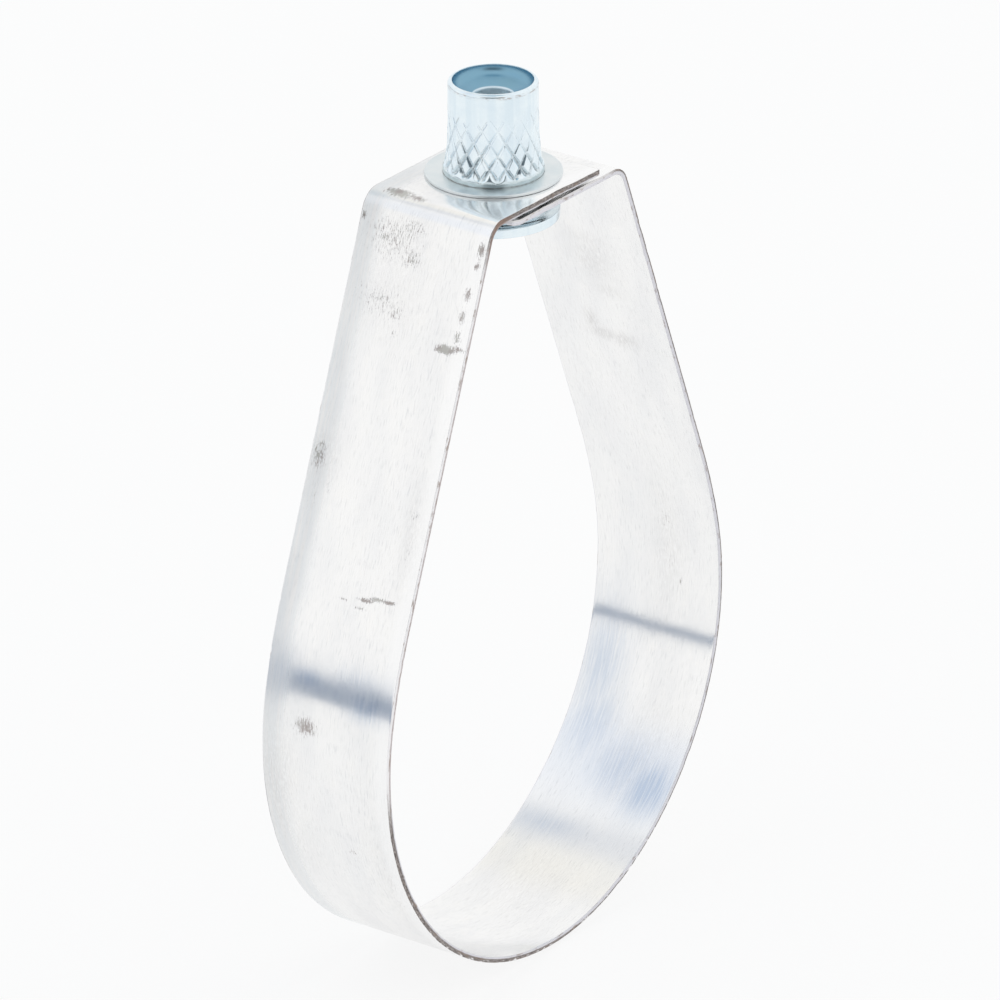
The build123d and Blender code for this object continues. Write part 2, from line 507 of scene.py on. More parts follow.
def section_outline():
    """Places across and depths under the outer face, once round the strip's section.

    It also gives how many cells the outer face has and how many points lie on a side.
    """
    half = strip_width / 2
    flat = half - edge_rounding
    turns = [pi / 6, pi / 3, pi / 2]
    near = np.linspace(-flat, -hole_square, side_cells + 1)
    middle = np.linspace(-hole_square, hole_square, hole_cells + 1)
    face = np.concatenate((near, middle[1:-1], -near[::-1]))
    drops = np.linspace(edge_rounding, sheet - edge_rounding, edge_cells + 1)[1:]
    corner = [(flat + edge_rounding * sin(a), edge_rounding * (1 - cos(a))) for a in turns]
    side = corner + [(half, drop) for drop in drops]
    side += [(across, sheet - depth) for across, depth in corner[1::-1]]
    outline = [(across, 0.0) for across in face]
    outline += side
    outline += [(across, sheet) for across in face[::-1]]
    outline += [(-across, depth) for across, depth in side[::-1]]
    return np.array(outline), len(face) - 1, len(side)


def strip_places():
    """Where the grid's rows lie along the strip, and each hole's first and last row."""
    first_hole = np.linspace(-hole_square, hole_square, hole_cells + 1) + strap_reach
    last_hole = strip_length - first_hole[::-1]
    plain_length = last_hole[0] - first_hole[-1]
    plain_rows = np.linspace(first_hole[-1], last_hole[0], round(plain_length / along_step) + 1)[1:-1]
    to_end = strip_length - np.array(end_rows[::-1])
    places = np.concatenate((end_rows, first_hole, plain_rows, last_hole, to_end))
    hole_start = len(end_rows)
    last_start = len(places) - 1 - hole_start - hole_cells
    return places, [(hole_start, hole_start + hole_cells), (last_start, last_start + hole_cells)]


def round_the_holes(along, across):
    """Moves the grid's points so that the square block at each hole becomes round."""
    for middle in (strap_reach, strip_length - strap_reach):
        x = along - middle
        reach = np.maximum(np.abs(x), np.abs(across))
        near = (reach < hole_blend) & (reach > hole_square / 2)
        plain = smooth(reach, hole_square, hole_blend)
        round_scale = strap_hole_radius / hole_square * reach / np.maximum(np.hypot(x, across), 1)
        scale = np.where(near, plain + (1 - plain) * round_scale, 1)
        along = middle + x * scale
        across = across * scale
    return along, across


def shape_edges(along, across, depth, grid_across):
    """Fracture, burr and nicks on the sheared edges, as new places across."""
    half = strip_width / 2
    on_edge = np.abs(grid_across) > half - edge_rounding - 1e-6
    side = np.sign(grid_across)
    fracture = smooth(depth, *fracture_depths)
    rough = soft_noise(along, depth, *rough_noise) + grit_share * soft_noise(along, depth, *grit_noise)
    bite = 0.5 + 0.5 * soft_noise(along, bite_row * side, *bite_noise)
    nick = np.maximum(0, soft_noise(along, nick_row * side, *nick_noise) - nick_threshold)
    rough_share = burnished_share + (1 - burnished_share) * fracture
    worn_in = least_wear + rough_wear * np.abs(rough) * rough_share
    worn_in += bite_wear * bite * fracture + nick_wear * nick
    return across - side * on_edge * worn_in


def press_seat(points, along, across):
    """Presses the upper strap flat round its hole."""
    from_hole = np.hypot(along - strap_reach, across)
    seat_share = 1 - smooth(from_hole, *seat_edge)
    points[..., 1] += seat_share * (washer_bottom - seat_clearance - points[..., 1])


def band_faces(places, holes, face_cells, side_points):
    """Faces round the section along the strip, the holes' walls and the two cut ends.

    The second list holds 0 for a rolled face and 1 for a sheared one.
    """
    around = 2 * (face_cells + 1 + side_points)
    inner_first = 2 * face_cells + side_points + 1
    hole_columns = range(side_cells, side_cells + hole_cells)
    faces = []

    def inner(column):
        """The point of the inner face under this one of the outer face."""
        return inner_first - column

    def add_strip(i, a, b):
        """A face from one row to the next, between two columns."""
        low, high = i * around, (i + 1) * around
        faces.append((low + a, low + b, high + b, high + a))

    def add_wall(row, j):
        """A face through the sheet, along one row."""
        faces.append((row + j, row + j + 1, row + inner(j + 1), row + inner(j)))

    for i in range(len(places) - 1):
        at_hole = any(start <= i < end for start, end in holes)
        for j in range(face_cells):
            if not (at_hole and j in hole_columns):
                add_strip(i, j, j + 1)
                add_strip(i, inner(j + 1), inner(j))
    rolled = len(faces)
    for i in range(len(places) - 1):
        for j in range(face_cells, inner(face_cells)):
            add_strip(i, j, j + 1)
        for j in range(inner_first, around):
            add_strip(i, j, (j + 1) % around)
    for start, end in holes:
        for i in range(start, end):
            add_strip(i, hole_columns[0], inner(hole_columns[0]))
            add_strip(i, inner(hole_columns[-1] + 1), hole_columns[-1] + 1)
        for row in (start * around, end * around):
            for j in hole_columns:
                add_wall(row, j)
    for row in (0, (len(places) - 1) * around):
        for j in range(face_cells):
            add_wall(row, j)
        faces.append([row + j for j in range(face_cells, inner(face_cells) + 1)])
        faces.append([row + j for j in range(inner_first, around)] + [row])
    return faces, [0] * rolled + [1] * (len(faces) - rolled)


def make_band(face_material, edge_material):
    """The folded strip, with rolled faces, rough sheared edges and the two strap holes."""
    outline, face_cells, side_points = section_outline()
    places, holes = strip_places()
    along, grid_across = np.meshgrid(places, outline[:, 0], indexing="ij")
    grid_depth = np.broadcast_to(outline[:, 1], along.shape)
    half = strip_width / 2
    from_end = np.minimum(along, strip_length - along)
    corner = np.clip(strap_corner - from_end, 0, strap_corner)
    inset = strap_corner - np.sqrt(strap_corner ** 2 - corner ** 2)
    across = grid_across * (half - inset) / half
    rounding = end_rounding * (1 - smooth(from_end, 0, end_rounding_length))
    depth = grid_depth + rounding * (1 - 2 * grid_depth / sheet)
    along, across = round_the_holes(along, across)
    across = shape_edges(along, across, depth, grid_across)
    ripple = sum(height * soft_noise(along, across, *wave) for height, *wave in ripples)
    depth = depth + smooth(from_end, *ripple_start) * (ripple_room + ripple)
    depth = depth - end_curl * smooth(from_end, end_curl_length, 0) * (along > strip_length / 2)
    points, normals = strip_point(along, across)
    press_seat(points, along, across)
    x = points[..., 0] - normals[..., 0] * depth
    z = points[..., 1] - normals[..., 1] * depth
    values = {"along": along, "across": across, "depth": grid_depth}
    values |= mark_values(along, across, grid_depth)
    vertices = np.stack((x, across, z), -1).reshape(-1, 3)
    faces, face_materials = band_faces(places, holes, face_cells, side_points)
    materials = [face_material, edge_material]
    piece = make_object("band_strip", vertices, faces, materials, sheet_crease, values, face_materials)
    add_strip_map(piece)
    return piece


# Nut: one surface turned round the axis, pressed in by the knurl's grooves and cut by the thread

nut_columns = 432
thread_columns = 108
knurl_mesh_rows = 84
thread_mesh_rows = 190
nut_crease = radians(50)
# The worn line's height above the start of the rim's rounding and its width, and how far the hole
# counts as the cup
rim_line_rise = 0.1
rim_line_width = 0.28
hole_in_cup = 0.55


def knurl_surface_radius(z):
    """The radius of the diamond lands, which flare towards the collar."""
    rise = np.clip((z - knurl_foot) / (knurl_top - knurl_foot), 0, 1)
    collar_step = neck_radius - crown_radius - knurl_flare
    foot = collar_step * smooth(z, collar_top + collar_blend, collar_top)
    return crown_radius + knurl_flare * (1 - rise) ** flare_power + foot


def groove_cut(angle, z, family):
    """How deep one family of slanting grooves is pressed in. family is 1 or -1 for its slant."""
    turns = knurl_count * angle / (2 * pi) + family * (z - knurl_foot) / (2 * knurl_pitch)
    groove = np.round(turns)
    slope = hypot(knurl_count / (2 * pi * knurl_mean_radius), 1 / (2 * knurl_pitch))
    off = np.abs(turns - groove) / slope
    noise_row = np.full_like(turns, groove_noise_row)
    own = soft_noise(groove % knurl_count, noise_row, 1.0, 1.0, groove_seed + family)
    rise = np.clip((z - knurl_foot) / (knurl_top - knurl_foot), 0, 1)
    deepening = (1 - rise) ** groove_deepening
    depth = groove_top_depth + (groove_base_depth - groove_top_depth) * deepening
    depth = depth * (1 + groove_spread * own)
    for height, (end, end_spread), (full, full_spread) in groove_run_outs:
        depth = depth * smooth(z, height + end + end_spread * own, height + full + full_spread * own)
    rounded = np.sqrt(off ** 2 + groove_root_rounding ** 2) - groove_root_rounding
    return np.maximum(0, depth - rounded / tan(groove_flank))


def knurl_cut(angle, z):
    """How deep the two crossing families of grooves are pressed in together."""
    return np.maximum(groove_cut(angle, z, 1), groove_cut(angle, z, -1))


def outer_profile():
    """The nut's outline from its foot up to the rim's outer edge, and the rows of the knurl."""
    foot_edge = (flange_radius - edge_break, flange_bottom + edge_break)
    top_edge = (flange_radius - edge_break, flange_top - edge_break)
    cove_centre = (neck_radius + cove_radius, flange_top + cove_radius)
    rim_centre = (crown_radius - rim_rounding, rim_top - rim_rounding)
    outline = [(foot_ring_radius, flange_bottom)]
    outline += line_points(outline[0], (foot_edge[0], flange_bottom), 3)
    outline += arc_points(foot_edge, edge_break, -pi / 2, 0, 4)
    outline += line_points((flange_radius, foot_edge[1]), (flange_radius, top_edge[1]), 5)
    outline += arc_points(top_edge, edge_break, 0, pi / 2, 4)
    outline += arc_points(cove_centre, cove_radius, -pi / 2, -pi, 10)
    outline += [(neck_radius, washer_bottom), (neck_radius - neck_relief, washer_top)]
    outline += line_points((neck_radius, washer_top), (neck_radius, collar_top), 5)
    first_knurl = len(outline)
    heights = np.linspace(collar_top, knurl_top, knurl_mesh_rows)
    outline += [(float(knurl_surface_radius(z)), z) for z in heights]
    last_knurl = len(outline)
    outline += line_points((crown_radius, knurl_top), (crown_radius, rim_centre[1]), 26)
    outline += arc_points(rim_centre, rim_rounding, 0, pi / 2, 10)
    return outline, first_knurl, last_knurl


def cup_profile():
    """The cup inside the rim, from the rim's inner edge down to the mouth of the thread."""
    turn = pi / 2 - cup_slope
    centre = (cup_radius - cup_curve, rim_top - cup_edge_drop)
    cup = arc_points(centre, cup_curve, 0, -turn, 16)
    mouth_radius = thread_minor_radius + thread_chamfer
    mouth_z = cup[-1][1] - (cup[-1][0] - mouth_radius) * tan(cup_slope)
    return cup + line_points(cup[-1], (mouth_radius, mouth_z), 6), (mouth_radius, mouth_z)


def thread_radius(angle, z, mouth):
    """The hole's radius, with its thread, the countersink and a broken edge at the foot."""
    below_mouth = mouth[1] - z
    phase = z / thread_pitch - angle / (2 * pi)
    off = 2 * np.abs(phase - np.round(phase))
    share = np.clip((thread_flank_end - off) / (thread_flank_end - thread_flank_start), 0, 1)
    share = share * smooth(below_mouth, thread_start, thread_start + thread_start_length)
    radius = thread_minor_radius + (thread_major_radius - thread_minor_radius) * share
    for inwards in (below_mouth, z - flange_bottom):
        radius = np.minimum(radius, mouth[0] + thread_run_out * inwards)
        radius = np.maximum(radius, mouth[0] - inwards)
    return radius


def turned_points(profile, columns):
    """Grids of angle, radius and height for a profile turned round the axis."""
    angles = np.arange(columns) * 2 * pi / columns
    radius, angle = np.meshgrid([p[0] for p in profile], angles, indexing="ij")
    height = np.meshgrid([p[1] for p in profile], angles, indexing="ij")[0]
    return angle, radius, height


def round_points(angle, radius, height):
    """Points in space from grids of angle, radius and height."""
    return np.stack((radius * np.cos(angle), radius * np.sin(angle), height), -1).reshape(-1, 3)


def make_nut(material):
    """The swivel nut with its flange, collar, diamond knurl, rounded rim, cup and thread."""
    outline, first_knurl, last_knurl = outer_profile()
    cup, mouth = cup_profile()
    profile = outline + cup
    angle, radius, height = turned_points(profile, nut_columns)
    cut = np.zeros_like(radius)
    knurl = slice(first_knurl, last_knurl)
    cut[knurl] = knurl_cut(angle[knurl], height[knurl])
    outside = round_points(angle, radius - cut, height)
    thread_heights = np.linspace(mouth[1], flange_bottom, thread_mesh_rows)
    thread_angle, _, thread_height = turned_points([(0, z) for z in thread_heights], thread_columns)
    hole = round_points(thread_angle, thread_radius(thread_angle, thread_height, mouth), thread_height)

    hole_first = len(outside)
    hole_last = hole_first + (thread_mesh_rows - 1) * thread_columns
    faces = ring_faces(0, len(profile), nut_columns)
    faces += ring_faces(hole_first, thread_mesh_rows, thread_columns)
    faces += joining_faces((len(profile) - 1) * nut_columns, nut_columns, hole_first, thread_columns)
    faces += joining_faces(0, nut_columns, hole_last, thread_columns)

    from_rim_line = height - rim_top + rim_rounding - rim_line_rise
    rim_line = np.exp(-(from_rim_line / rim_line_width) ** 2)
    rim_line[len(outline):] = 0
    in_cup = np.zeros_like(height)
    in_cup[len(outline) + 1:] = 1
    plain_hole = np.zeros(len(hole))
    values = {
        "groove": np.append(cut / groove_base_depth, plain_hole),
        "in_cup": np.append(in_cup, plain_hole + hole_in_cup),
        "rim_line": np.append(rim_line, plain_hole),
    }
    vertices = np.concatenate((outside, hole))
    return make_object("nut_turned", vertices, faces, [material], nut_crease, values)


washer_columns = 288


def make_washer(material):
    """The thin washer on the upper strap, flat and with rounded edges."""
    flat_edge = washer_radius - washer_rounding
    upper_corner = (flat_edge, washer_top - washer_rounding)
    lower_corner = (flat_edge, washer_bottom + washer_rounding)
    inner = neck_radius + washer_fit
    profile = [(inner, washer_top)]
    profile += line_points(profile[0], (flat_edge, washer_top), 3)
    profile += arc_points(upper_corner, washer_rounding, pi / 2, 0, 4)
    profile += arc_points(lower_corner, washer_rounding, 0, -pi / 2, 4)
    upper_points = len(profile) - 3
    profile += line_points((flat_edge, washer_bottom), (inner, washer_bottom), 3)
    profile += [(inner, washer_bottom)]
    top_face = [1.0 if index < upper_points else 0.0 for index in range(len(profile))]
    angle, radius, height = turned_points(profile, washer_columns)
    faces = ring_faces(0, len(profile), washer_columns)
    faces += joining_faces((len(profile) - 1) * washer_columns, washer_columns, 0, washer_columns)
    values = {"top_face": np.repeat(top_face, washer_columns)}
    vertices = round_points(angle, radius, height)
    return make_object("washer_disc", vertices, faces, [material], sheet_crease, values)


# Materials

# Noise: the size of its spots along each axis in millimetres, its detail and its roughness. On the
# strip the axes run across it, along it and through the sheet.
strip_noises = {
    "grain": ((0.24, 2.6, 1.0), 3.0, 0.65),
    "long grain": ((0.6, 26.0, 1.0), 2.0, 0.5),
    "broad": ((7.0, 26.0, 1.0), 3.0, 0.5),
    "cloud": ((3.0, 5.0, 1.0), 4.0, 0.6),
    "streak": ((0.26, 1.5, 1.0), 4.0, 0.65),
    "fine streak": ((0.35, 9.0, 1.0), 3.0, 0.6),
    "speck": ((0.35, 0.4, 1.0), 3.0, 0.7),
    "dash": ((0.4, 4.0, 1.0), 2.0, 0.6),
    "dent": ((6.0, 9.0, 1.0), 1.0, 0.5),
}
edge_noises = {
    "rough": ((0.4, 0.6, 0.25), 4.0, 0.65),
    "spots": ((2.0, 3.0, 1.0), 4.0, 0.6),
    "burr": ((0.5, 1.0, 0.5), 2.0, 0.5),
}
nut_noises = {
    "turning": ((30.0, 30.0, 0.12), 3.0, 0.5),
    "cloud": ((5.0, 5.0, 3.0), 3.0, 0.5),
    "speck": ((0.5, 0.5, 0.5), 3.0, 0.7),
    "upright": ((2.4, 2.4, 60.0), 2.0, 0.5),
    "wear": ((1.6, 1.6, 0.3), 3.0, 0.6),
}
washer_noises = {
    "cloud": ((4.0, 4.0, 4.0), 4.0, 0.5),
    "speck": ((0.4, 0.4, 0.4), 3.0, 0.5),
}

# Colours of the rolled faces, the sheared edges, and the nut and washer
zinc_white = (0.94, 0.938, 0.932, 1)
zinc_grey = (0.9, 0.902, 0.905, 1)
zinc_cream = (0.97, 0.96, 0.94, 1)
grain_grey = (0.68, 0.69, 0.7, 1)
dash_grey = (0.7, 0.72, 0.74, 1)
# Painted blue reflection on the far side of the strip
far_side_reflection_blue = (0.76, 0.83, 0.88, 1)
# Painted white sheen along the strip's near side
near_side_sheen_white = (0.97, 0.97, 0.97, 1)
# Painted blue reflection in patches
blue_reflection_patch = (0.55, 0.63, 0.745, 1)
smear_grey = (0.6, 0.59, 0.585, 1)
scuff_brown = (0.41, 0.35, 0.33, 1)
scuff_grey = (0.54, 0.53, 0.49, 1)
dot_brown = (0.4, 0.38, 0.36, 1)

fracture_dark = (0.14, 0.12, 0.115, 1)
fracture_light = (0.46, 0.42, 0.4, 1)
worn_dark = (0.5, 0.44, 0.44, 1)
worn_light = (0.72, 0.68, 0.68, 1)
edge_pale = (0.93, 0.92, 0.93, 1)
burnished_grey = (0.8, 0.8, 0.85, 1)
# Painted glints of light on the burr
burr_glint_white = (0.92, 0.91, 0.92, 1)
spot_brown = (0.3, 0.22, 0.17, 1)
rust_brown = (0.3, 0.2, 0.16, 1)

plate_light = (0.85, 0.93, 0.965, 1)
plate_blue = (0.79, 0.885, 0.94, 1)
plate_streak = (0.72, 0.83, 0.9, 1)
# Painted shade in the knurl's grooves
groove_shade_dark = (0.22, 0.26, 0.28, 1)
rim_brown = (0.47, 0.44, 0.42, 1)
hole_blue = (0.8, 0.9, 0.95, 1)
# Painted shade and blue reflection inside the cup
cup_shade_and_reflection_blue = (0.225, 0.415, 0.54, 1)
collar_grey = (0.56, 0.65, 0.67, 1)
# Painted contact shadow where the collar meets the washer
washer_contact_shadow = (0.27, 0.26, 0.25, 1)
washer_light = (0.76, 0.8, 0.81, 1)
washer_dark = (0.7, 0.76, 0.78, 1)
# Painted light on the washer's side and underside
washer_painted_light = (0.86, 0.88, 0.9, 1)

# Stretches of the sheared edge, as distances along the strip, with a soft border or as a start
left_leg_stretch = (44.0, 160.0, 7.0)
# Where the burr gets its painted glints
burr_glint_stretch = (190.0, 300.0, 20.0)
rust_stretch = (33.0, 47.0, 3.0)
right_side_start = (236.0, 270.0)
lower_strap_start = (462.0, 468.0)


class Value:
    """A number, colour or vector made by a node, with the nodes that can work on it."""

    def __init__(self, tree, socket):
        self.tree = tree
        self.socket = socket

    def maths(self, operation, *others):
        """The result of a Math node."""
        inputs = dict(enumerate((self, *others)))
        return add_value(self.tree, "Math", 0, inputs, operation=operation)

    def __add__(self, other):
        return self.maths("ADD", other)

    def __sub__(self, other):
        return self.maths("SUBTRACT", other)

    def __rsub__(self, other):
        return add_value(self.tree, "Math", 0, {0: other, 1: self}, operation="SUBTRACT")

    def __mul__(self, other):
        return self.maths("MULTIPLY", other)

    def fade(self, low, high, first=0.0, last=1.0):
        """A smooth change from first to last as the value goes from low to high."""
        inputs = {"Value": self, "From Min": low, "From Max": high, "To Min": first, "To Max": last}
        return add_value(self.tree, "MapRange", "Result", inputs, interpolation_type="SMOOTHSTEP")

    def between(self, low, high, border):
        """1 while the value lies between low and high, with soft borders."""
        falling = self.fade(high - border, high + border, 1.0, 0.0)
        return self.fade(low - border, low + border) * falling

    def blend(self, first, second):
        """A colour between two colours, with this value as the second one's share."""
        return add_value(self.tree, "Mix", 2, {0: self, 6: first, 7: second}, data_type="RGBA")


def add_node(tree, kind, inputs=None, **settings):
    """A node with its settings made and its inputs set to numbers or joined to values."""
    node = tree.nodes.new("ShaderNode" + kind)
    for name, value in settings.items():
        setattr(node, name, value)
    for name, value in (inputs or {}).items():
        if isinstance(value, Value):
            tree.links.new(value.socket, node.inputs[name])
        else:
            node.inputs[name].default_value = value
    return node


def add_value(tree, kind, output, inputs=None, **settings):
    """What a new node gives at this output."""
    return Value(tree, add_node(tree, kind, inputs, **settings).outputs[output])


def make_noises(place, table, unit=1.0):
    """Noises from 0 to 1 by name. unit is a millimetre as place counts it."""
    noises = {}
    for name, (cell, detail, roughness) in table.items():
        scale = tuple(1 / (size * unit) for size in cell)
        inputs = {0: place, 1: scale}
        scaled = add_value(place.tree, "VectorMath", "Vector", inputs, operation="MULTIPLY")
        inputs = {"Vector": scaled, "Scale": 1.0, "Detail": detail, "Roughness": roughness}
        noises[name] = add_value(place.tree, "TexNoise", "Fac", inputs)
    return noises


def bump(height, distance, normal=None):
    """The normal of a surface raised by this height times this distance."""
    inputs = {"Height": height, "Distance": distance * MM, "Strength": 1.0}
    if normal is not None:
        inputs["Normal"] = normal
    return add_value(height.tree, "Bump", "Normal", inputs)


def stored(tree, name):
    """A number stored at each vertex."""
    return add_value(tree, "Attribute", "Fac", attribute_name=name)


def new_material(name):
    """A metal, with its node tree and its shader."""
    material = bpy.data.materials.new(name)
    material.use_nodes = True
    tree = material.node_tree
    shader = tree.nodes["Principled BSDF"]
    shader.inputs["Metallic"].default_value = 1.0
    return material, tree, shader


def connect(shader, **values):
    """Joins values to the shader's inputs, with low lines for spaces in the names."""
    for name, value in values.items():
        value.tree.links.new(value.socket, shader.inputs[name.replace("_", " ").title()])


def strip_place(tree):
    """Where a point lies on the strip, in millimetres: across, along and depth."""
    across, along, depth = (stored(tree, name) for name in ("across", "along", "depth"))
    place = add_value(tree, "CombineXYZ", "Vector", {"X": across, "Y": along, "Z": depth})
    return place, across, along, depth


def rolled_colour(noises, across, outside):
    """The bare sheet's colour with a painted far-side reflection and near-side sheen, and where its
    outer face's far side lies.
    """
    colour = noises["broad"].fade(0.35, 0.7).blend(zinc_white, zinc_grey)
    colour = noises["cloud"].fade(0.5, 0.75, 0, 0.4).blend(colour, zinc_cream)
    colour = noises["grain"].fade(0.5, 0.8, 0, 0.6).blend(colour, grain_grey)
    dashes = noises["dash"].fade(0.58, 0.7, 0, 0.5) * (across.fade(4.0, -6.0) * outside)
    colour = dashes.blend(colour, dash_grey)
    # Painted blue reflection of the room, in streaks on the far side of the outer face
    far_side = across.fade(8.0, 13.5) * outside
    far_side_reflection = far_side * noises["long grain"].fade(0.3, 0.62) * 0.3
    colour = far_side_reflection.blend(colour, far_side_reflection_blue)
    # Painted white sheen along the near side of the outer face
    near_side = across.fade(-11.5, -14.0) * outside
    return (near_side * 0.7).blend(colour, near_side_sheen_white), far_side


def marked_colour(noises, marks, colour):
    """The colour with the marks over it, the blue ones painted reflections, and how strongly the
    scuffs act.
    """
    # Painted blue reflections, in streaky patches
    blue = marks["blue"] * noises["fine streak"].fade(0.3, 0.64, 0.5, 1.0)
    colour = blue.blend(colour, blue_reflection_patch)
    smear = marks["smear"] * noises["streak"].fade(0.3, 0.62)
    colour = (smear * 0.6).blend(colour, smear_grey)
    scuff_level = noises["speck"].maths("MULTIPLY_ADD", 0.9, -1.75)
    scuff_level = noises["streak"].maths("MULTIPLY_ADD", 1.9, scuff_level) + marks["scuff"]
    scuff = scuff_level.fade(0.16, 0.5)
    scuff_colour = noises["cloud"].fade(0.42, 0.58).blend(scuff_brown, scuff_grey)
    colour = (scuff * 0.78).blend(colour, scuff_colour)
    return noises["speck"].fade(0.735, 0.76, 0, 0.5).blend(colour, dot_brown), scuff


def galvanized_face():
    """Rolled galvanized sheet: bright, with a lengthwise grain, scuffs, grey smears, painted blue
    reflections and a painted sheen.
    """
    material, tree, shader = new_material("galvanized_face")
    place, across, _, depth = strip_place(tree)
    outside = 1.0 - depth.fade(*middle_depths)
    noises = make_noises(place, strip_noises)
    marks = {kind: stored(tree, kind) for kind in face_marks}
    colour, far_side = rolled_colour(noises, across, outside)
    colour, scuff = marked_colour(noises, marks, colour)
    roughness = noises["broad"].fade(0.3, 0.75, 0.15, 0.2) + far_side * 0.2 + scuff * 0.25
    normal = bump(noises["grain"], 0.006)
    normal = bump(noises["dent"], 0.03, normal)
    normal = bump(scuff, 0.02, normal)
    tangent = add_value(tree, "Tangent", "Tangent", direction_type="UV_MAP", uv_map="strip")
    connect(shader, base_color=colour, roughness=roughness, normal=normal, tangent=tangent)
    shader.inputs["Anisotropic"].default_value = 0.92
    return material


def sheared_edge():
    """The cut edge of the sheet: a rough fracture zone beside a burnished one.

    The fracture is dark on the straps and round the ring, and pale on the left leg.
    """
    material, tree, shader = new_material("sheared_edge")
    place, _, along, depth = strip_place(tree)
    noises = make_noises(place, edge_noises)
    patchy = noises["rough"].fade(0.35, 0.7)
    worn = patchy.blend(worn_dark, worn_light)
    pale = depth.fade(0.45, 0.75).blend(edge_pale, worn)
    left_leg = along.between(*left_leg_stretch)
    paleness = left_leg.maths("MAXIMUM", along.fade(*lower_strap_start) * 0.75)
    colour = paleness.blend(patchy.blend(fracture_dark, fracture_light), pale)
    burnished = along.fade(*right_side_start).maths("MULTIPLY_ADD", 0.42, depth).fade(0.74, 0.94)
    burnished = burnished * (1.0 - left_leg)
    colour = (burnished * 0.85).blend(colour, burnished_grey)
    # Painted glints: white dashes of light on the burr near the outer face, along one stretch
    burr = noises["burr"].fade(0.58, 0.64) * depth.fade(0.6, 0.3) * along.between(*burr_glint_stretch)
    colour = burr.blend(colour, burr_glint_white)
    colour = noises["spots"].fade(0.55, 0.66, 0, 0.6).blend(colour, spot_brown)
    rust_depth = along.maths("MULTIPLY_ADD", -0.12, depth).fade(-4.7, -4.3)
    rust = along.between(*rust_stretch) * rust_depth
    colour = (rust * 0.75).blend(colour, rust_brown)
    connect(shader, base_color=colour, normal=bump(noises["rough"], 0.08))
    shader.inputs["Roughness"].default_value = 0.45
    return material


def plate_colour(tree, noises, in_cup):
    """The nut's colour, with painted shade in the grooves, a worn rim and a cup painted deep blue as
    shade and reflection.
    """
    colour = noises["cloud"].fade(0.3, 0.7).blend(plate_light, plate_blue)
    colour = noises["upright"].fade(0.42, 0.62, 0, 0.6).blend(colour, plate_streak)
    # Painted shade, darker where the knurl's grooves are deeper
    groove_shade = stored(tree, "groove").fade(0.25, 0.9) * noises["speck"].fade(0.3, 0.6)
    colour = (groove_shade * 0.75).blend(colour, groove_shade_dark)
    worn_rim = stored(tree, "rim_line") * noises["wear"].fade(0.48, 0.6, 0.08, 0.9)
    colour = worn_rim.blend(colour, rim_brown)
    # The cup is painted deep blue: painted shade and reflection of the room in this hollow
    cup_colour = in_cup.fade(0.6, 0.9).blend(hole_blue, cup_shade_and_reflection_blue)
    return in_cup.fade(0.1, 0.5).blend(colour, cup_colour)


def collar_colour(wear, height, colour):
    """The colour with the greyer collar, and a painted contact shadow where it meets the washer."""
    def rising(low, high, *ends):
        """A change between two heights in millimetres."""
        return height.fade(low * MM, high * MM, *ends)

    on_collar = rising(collar_top + 0.5, collar_top - 0.3) * wear.fade(0.35, 0.6, 0.45, 0.9)
    above_strap = rising(washer_bottom, washer_bottom + 0.1)
    colour = (on_collar * above_strap).blend(colour, collar_grey)
    # Painted contact shadow: darker round the washer and just above it, fading out upwards
    contact_shadow = rising(washer_top + 0.05, washer_top + 0.42, 1.0, 0.0)
    contact_shadow = contact_shadow * rising(flange_top, washer_bottom) * wear.fade(0.4, 0.55, 0.25, 0.9)
    return contact_shadow.blend(colour, washer_contact_shadow)


def zinc_plate():
    """Bright zinc plate with a blue tint, fine turning marks, painted shade in the grooves and a
    painted contact shadow at the washer.
    """
    material, tree, shader = new_material("zinc_plate")
    place = add_value(tree, "NewGeometry", "Position")
    height = add_value(tree, "SeparateXYZ", "Z", {"Vector": place})
    noises = make_noises(place, nut_noises, MM)
    in_cup = stored(tree, "in_cup")
    colour = plate_colour(tree, noises, in_cup)
    colour = collar_colour(noises["wear"], height, colour)
    roughness = in_cup.maths("MULTIPLY_ADD", 0.16, noises["cloud"].fade(0.3, 0.7, 0.13, 0.19))
    roughness = in_cup.between(0.3, 0.8, 0.05).maths("MULTIPLY_ADD", 0.3, roughness)
    normal = bump(noises["turning"], 0.003)
    normal = bump(noises["speck"], 0.004, normal)
    connect(shader, base_color=colour, roughness=roughness, normal=normal)
    return material


def washer_zinc():
    """The washer's satin zinc: greyer than the nut's, with painted light making its side and underside
    brighter.
    """
    material, tree, shader = new_material("washer_zinc")
    noises = make_noises(add_value(tree, "NewGeometry", "Position"), washer_noises, MM)
    colour = noises["cloud"].fade(0.3, 0.7).blend(washer_light, washer_dark)
    # Painted light: the side and underside are brighter than the top
    colour = stored(tree, "top_face").blend(washer_painted_light, colour)
    connect(shader, base_color=colour, normal=bump(noises["speck"], 0.006))
    shader.inputs["Roughness"].default_value = 0.33
    return material


# Studio: a white room with soft areas that the metal mirrors, a pale floor and the camera

white = (1.0, 1.0, 1.0, 1)
floor_grey = (0.95, 0.95, 0.95, 1)
# Azimuth and elevation of each area's middle and half its size in both, in degrees, then its soft
# border as a share of that size and its colour
room_areas = [
    (150.0, -1.8, 70.0, 2.0, 0.4, (0.25, 0.31, 0.41, 1)),
    (128.0, 46.0, 34.0, 13.0, 0.5, (0.92, 0.95, 1.0, 1)),
    (84.0, 60.0, 17.0, 7.0, 0.5, (0.78, 0.8, 0.84, 1)),
    (60.0, 54.0, 16.0, 9.0, 0.7, (0.95, 0.94, 0.9, 1)),
    (0.0, 90.0, 900.0, 15.0, 0.4, (0.3, 0.47, 0.58, 1)),
    (215.0, 24.0, 26.0, 13.0, 0.3, (0.12, 0.15, 0.17, 1)),
]
# The higher this power, the squarer the areas' corners
corner_power = 4.0


